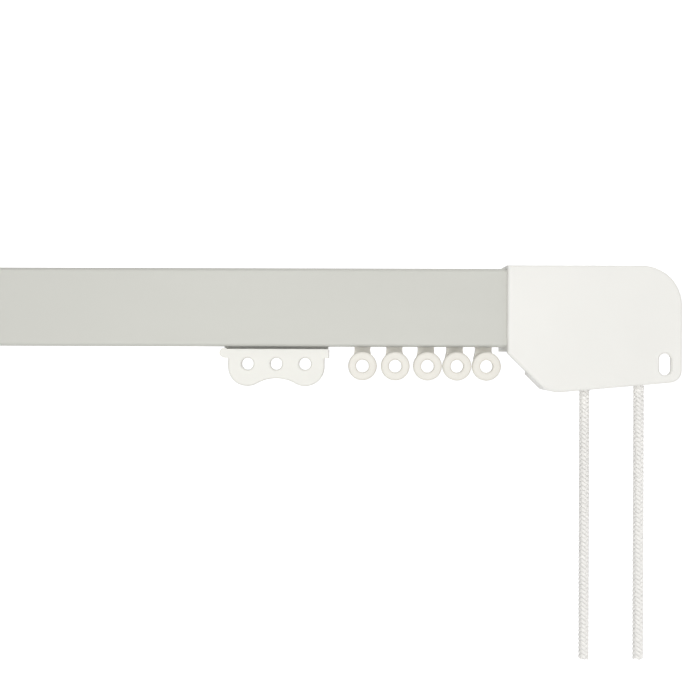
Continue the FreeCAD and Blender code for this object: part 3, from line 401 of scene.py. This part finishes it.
def braid_mesh(name, skin, run, lift, seed):
    """One mesh of all strands: rings of a strand joined by quads, and both its ends closed.

    The Yarn map holds the way along the cord and the way round the strand, in metres, with each strand
    beside the last. Attribute depth is 0 on top and 1 below, and tone is one random share per strand."""
    girth, gap_in_girths = 2.4 * MM, 5
    shade_at_level, shade_per_lift = 0.6, 0.9
    strands, steps, around, _ = skin.shape
    step, ring = np.meshgrid(np.arange(steps - 1), np.arange(around), indexing="ij")
    after = (ring + 1) % around
    quads = np.stack([step * around + ring, (step + 1) * around + ring,
                      (step + 1) * around + after, step * around + after], axis=-1).reshape(-1, 4)
    first = np.arange(strands)[:, None, None] * steps * around
    quads = (first + quads).reshape(-1, 4)
    foot = first[:, 0] + np.arange(around)
    top = first[:, 0] + (steps - 1) * around + np.arange(around)[::-1]
    mesh = bpy.data.meshes.new(name)
    mesh.from_pydata(skin.reshape(-1, 3), [], quads.tolist() + foot.tolist() + top.tolist())
    mesh.polygons.foreach_set("use_smooth", np.arange(len(mesh.polygons)) < len(quads))
    flat = np.stack([np.stack([run[step], girth * ring / around], -1),
                     np.stack([run[step + 1], girth * ring / around], -1),
                     np.stack([run[step + 1], girth * (ring + 1) / around], -1),
                     np.stack([run[step], girth * (ring + 1) / around], -1)], axis=2)
    shift = np.arange(strands)[:, None, None, None, None] * np.array((0.0, gap_in_girths * girth))
    yarn = np.concatenate([(flat[None] + shift).reshape(-1, 2), np.zeros((2 * strands * around, 2))])
    mesh.uv_layers.new(name="Yarn").data.foreach_set("uv", yarn.ravel())
    # Depth is the mask of painted shade: 1 where a strand lies under the others, 0 where it lies on top.
    depth = np.repeat(np.clip(shade_at_level - shade_per_lift * lift, 0, 1).ravel(), around)
    mesh.attributes.new("depth", "FLOAT", "POINT").data.foreach_set("value", depth)
    tone = np.repeat(np.random.default_rng(seed).random(strands), steps * around)
    mesh.attributes.new("tone", "FLOAT", "POINT").data.foreach_set("value", tone)
    mesh.update()
    return mesh


class CURTAINTRACK_OT_rail(bpy.types.Operator):
    """Finishes the rail in satin anodised aluminium"""

    bl_idname = "curtain_track.rail"
    bl_label = "Finish Rail"

    def execute(self, context):
        finish = context.scene.curtain_track.finish
        dress(("track_profile",), anodised_aluminium(finish.rail))
        return {"FINISHED"}


class CURTAINTRACK_OT_housings(bpy.types.Operator):
    """Finishes the shells of both end housings in moulded white plastic"""

    bl_idname = "curtain_track.housings"
    bl_label = "Finish Housings"

    def execute(self, context):
        finish = context.scene.curtain_track.finish
        dress(HOUSING_NODES, moulded_plastic("ABS, moulded satin white", finish.housing,
                                             roughness=0.42, grit_mm=0.5, relief_mm=0.02, cloud_mm=18))
        return {"FINISHED"}


class CURTAINTRACK_OT_carrier(bpy.types.Operator):
    """Finishes the master carrier and its cord clamp"""

    bl_idname = "curtain_track.carrier"
    bl_label = "Finish Carrier"

    def execute(self, context):
        finish = context.scene.curtain_track.finish
        dress(CARRIER_NODES, moulded_plastic("Nylon, moulded white", finish.carrier,
                                             roughness=0.36, grit_mm=0.6, relief_mm=0.02, cloud_mm=9))
        return {"FINISHED"}


class CURTAINTRACK_OT_gliders(bpy.types.Operator):
    """Finishes the gliders in creamy acetal"""

    bl_idname = "curtain_track.gliders"
    bl_label = "Finish Gliders"

    def execute(self, context):
        finish = context.scene.curtain_track.finish
        dress(GLIDER_NODES, moulded_plastic("Acetal, moulded cream", finish.glider,
                                            roughness=0.4, grit_mm=0.6, relief_mm=0.015, cloud_mm=5))
        return {"FINISHED"}


class CURTAINTRACK_OT_pulleys(bpy.types.Operator):
    """Finishes the three pulleys in white acetal"""

    bl_idname = "curtain_track.pulleys"
    bl_label = "Finish Pulleys"

    def execute(self, context):
        finish = context.scene.curtain_track.finish
        dress(PULLEY_NODES, moulded_plastic("Acetal, moulded white", finish.pulley,
                                            roughness=0.28, grit_mm=0.4, relief_mm=0.01, cloud_mm=6))
        return {"FINISHED"}


class CURTAINTRACK_OT_hardware(bpy.types.Operator):
    """Finishes the screws and axles in zinc-plated steel"""

    bl_idname = "curtain_track.hardware"
    bl_label = "Finish Hardware"

    def execute(self, context):
        finish = context.scene.curtain_track.finish
        dress(SCREW_NODES + AXLE_NODES, zinc_plated_steel(finish.steel))
        return {"FINISHED"}


class CURTAINTRACK_OT_inner_cord(bpy.types.Operator):
    """Finishes the run of cord inside the rail"""

    bl_idname = "curtain_track.inner_cord"
    bl_label = "Finish Inner Cord"

    def execute(self, context):
        settings = context.scene.curtain_track
        dress(("draw_cord",), inner_cord_cover(settings.finish.yarn, settings.cord.lead))
        return {"FINISHED"}


class CURTAINTRACK_OT_cord_drops(bpy.types.Operator):
    """Braids the two cord drops that hang from the cord housing"""

    bl_idname = "curtain_track.cord_drops"
    bl_label = "Braid Cord Drops"

    def execute(self, context):
        settings = context.scene.curtain_track
        diameters_below_edge = 6
        yarn = polyester_yarn(settings.finish.yarn, settings.cord.filament)
        for seed, node in enumerate(DROP_NODES):
            low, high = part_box(node)
            middle = (low + high) / 2
            diameter = high.x - low.x
            leaves_at = Vector((middle.x, middle.y, high.z))
            below_edge = leaves_at - Vector((0, 0, diameters_below_edge * diameter))
            ends_at = Vector((middle.x, middle.y, low.z))
            line = route_line((leaves_at, below_edge, ends_at))
            skin, run, lift = braid_surface(line, settings.cord, diameter / 2)
            name = f"braided_{node}"
            drop = bpy.data.objects.new(name, braid_mesh(name, skin, run, lift, seed))
            drop.data.materials.append(yarn)
            context.scene.collection.objects.link(drop)
            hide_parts(node)
            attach(drop, ROOT_BODY)
        return {"FINISHED"}


def backdrop(scene, floor_drop):
    """A floor that sweeps up into a wall: the profile floor, quarter circle, wall, carried along X."""
    front, reach, bend, rise, half_width = 3.0, 1.6, 0.5, 2.4, 4.0
    bend_points, width_points = 24, 9
    turn = np.linspace(0, np.pi / 2, bend_points)
    depth = np.concatenate(([-front, 0.0], reach + bend * np.sin(turn), [reach + bend]))
    height = np.concatenate(([0.0, 0.0], bend * (1 - np.cos(turn)), [rise])) - floor_drop
    across = np.linspace(-half_width, half_width, width_points)
    x, y = np.meshgrid(across, depth, indexing="ij")
    points = np.stack([x, y, np.broadcast_to(height, x.shape)], axis=-1).reshape(-1, 3)
    rows, columns = x.shape
    row, column = np.meshgrid(np.arange(rows - 1), np.arange(columns - 1), indexing="ij")
    corner = row * columns + column
    faces = np.stack([corner, corner + columns, corner + columns + 1, corner + 1], axis=-1)
    mesh = bpy.data.meshes.new("studio_sweep")
    mesh.from_pydata(points, [], faces.reshape(-1, 4).tolist())
    mesh.polygons.foreach_set("use_smooth", np.ones(len(mesh.polygons), bool))
    sweep = bpy.data.objects.new("studio_sweep", mesh)
    sweep.data.materials.append(studio_white())
    scene.collection.objects.link(sweep)
    return sweep


def seen_or_mirrored(tree):
    """1 on the rays of the camera, of mirrors and of glass, 0 on those that carry the studio's light."""
    rays = add_node(tree, "ShaderNodeLightPath").outputs
    mirrored = add_node(tree, "ShaderNodeMath", operation="ADD",
                        links={0: rays["Is Glossy Ray"], 1: rays["Is Transmission Ray"]})
    either = add_node(tree, "ShaderNodeMath", operation="ADD", use_clamp=True,
                      links={0: rays["Is Camera Ray"], 1: mirrored.outputs[0]})
    return either.outputs[0]


def studio_white():
    """White backdrop paper, which the camera sees at full white except where the track shades it."""
    paper_glow = 0.9
    material, tree, shader = start_material("Backdrop paper, white", {"Base Color": (0.9, 0.9, 0.9, 1),
                                                                      "Roughness": 0.9,
                                                                      "Emission Color": (1, 1, 1, 1)})
    glow = add_node(tree, "ShaderNodeMath", {1: paper_glow}, {0: seen_or_mirrored(tree)},
                    operation="MULTIPLY")
    tree.links.new(glow.outputs[0], shader.inputs["Emission Strength"])
    return material


def lamp(scene, name, aim, away, width, power):
    """A square soft lamp at a place away from the aim, facing it."""
    light = bpy.data.lights.new(name, "AREA")
    light.size = width
    light.energy = power
    holder = bpy.data.objects.new(name, light)
    holder.location = aim + away
    holder.rotation_euler = (-away).to_track_quat("-Z", "Y").to_euler()
    scene.collection.objects.link(holder)


def room(scene, strength):
    """Even room light, which the camera sees as plain white."""
    world = bpy.data.worlds.new("studio_room")
    world.use_nodes = True
    scene.world = world
    tree = world.node_tree
    light = tree.nodes["Background"]
    light.inputs["Color"].default_value = (1, 1, 1, 1)
    light.inputs["Strength"].default_value = strength
    white = add_node(tree, "ShaderNodeBackground", {"Color": (1, 1, 1, 1), "Strength": 1})
    mixed = add_node(tree, "ShaderNodeMixShader",
                     links={0: seen_or_mirrored(tree), 1: light.outputs[0], 2: white.outputs[0]})
    tree.links.new(mixed.outputs[0], tree.nodes["World Output"].inputs["Surface"])


def camera(scene, stage, aim):
    """A camera level with the rail's lower edge, turned a little to the left and facing the room side."""
    eye = bpy.data.cameras.new("front_camera")
    eye.lens = stage.lens
    eye.sensor_width = 36
    eye.clip_start = 0.01
    turn = (Matrix.Rotation(stage.yaw, 4, "Z") @ Matrix.Rotation(math.radians(90), 4, "X")
            @ Matrix.Rotation(stage.roll, 4, "Z"))
    ahead = turn @ Vector((0, 0, -1))
    holder = bpy.data.objects.new("front_camera", eye)
    holder.matrix_world = Matrix.Translation(aim - ahead * stage.distance) @ turn
    scene.collection.objects.link(holder)
    return holder


class CURTAINTRACK_OT_stage(bpy.types.Operator):
    """Builds the white studio: floor and backdrop, lamps, room light and camera"""

    bl_idname = "curtain_track.stage"
    bl_label = "Set Stage"

    def execute(self, context):
        scene = context.scene
        stage = scene.curtain_track.stage
        key_away, key_width = Vector((-0.08, -1.0, 0.0)), 0.5
        top_away, top_width = Vector((0.25, -0.2, 0.9)), 0.6
        back_away, back_width = Vector((0.5, 1.0, 0.5)), 0.7
        backdrop(scene, stage.floor_drop)
        aim = Vector((stage.aim_right, RAIL_LOW.y, RAIL_HIGH.z + stage.aim_up))
        lamp(scene, "key_lamp", aim, key_away, key_width, stage.key_power)
        lamp(scene, "top_lamp", aim, top_away, top_width, stage.top_power)
        lamp(scene, "back_lamp", aim, back_away, back_width, stage.back_power)
        room(scene, stage.room_light)
        scene.camera = camera(scene, stage, aim)
        scene.view_settings.view_transform = "Standard"
        return {"FINISHED"}


STEPS = (CURTAINTRACK_OT_rail, CURTAINTRACK_OT_housings, CURTAINTRACK_OT_carrier, CURTAINTRACK_OT_gliders,
         CURTAINTRACK_OT_pulleys, CURTAINTRACK_OT_hardware, CURTAINTRACK_OT_inner_cord,
         CURTAINTRACK_OT_cord_drops, CURTAINTRACK_OT_stage)


class CURTAINTRACK_PT_sidebar(bpy.types.Panel):
    """Lists the steps that dress the track"""

    bl_idname = "CURTAINTRACK_PT_sidebar"
    bl_label = "Curtain Track"
    bl_space_type = "VIEW_3D"
    bl_region_type = "UI"
    bl_category = "Curtain Track"

    def draw(self, context):
        for step in STEPS:
            self.layout.operator(step.bl_idname)
        settings = context.scene.curtain_track
        for group in (settings.finish, settings.cord, settings.stage):
            box = self.layout.box()
            for name in group.__annotations__:
                box.prop(group, name)


CLASSES = (FinishSettings, CordSettings, StageSettings, TrackSettings) + STEPS + (CURTAINTRACK_PT_sidebar,)


def register():
    """Registers the classes and puts the settings on the scene."""
    for item in CLASSES:
        bpy.utils.register_class(item)
    bpy.types.Scene.curtain_track = bpy.props.PointerProperty(type=TrackSettings)


def unregister():
    """Takes the settings and classes away again."""
    del bpy.types.Scene.curtain_track
    for item in reversed(CLASSES):
        bpy.utils.unregister_class(item)


def main():
    """Dresses the track step by step."""
    register()
    bpy.ops.curtain_track.rail()
    bpy.ops.curtain_track.housings()
    bpy.ops.curtain_track.carrier()
    bpy.ops.curtain_track.gliders()
    bpy.ops.curtain_track.pulleys()
    bpy.ops.curtain_track.hardware()
    bpy.ops.curtain_track.inner_cord()
    bpy.ops.curtain_track.cord_drops()
    bpy.ops.curtain_track.stage()


if __name__ == "__main__":
    main()
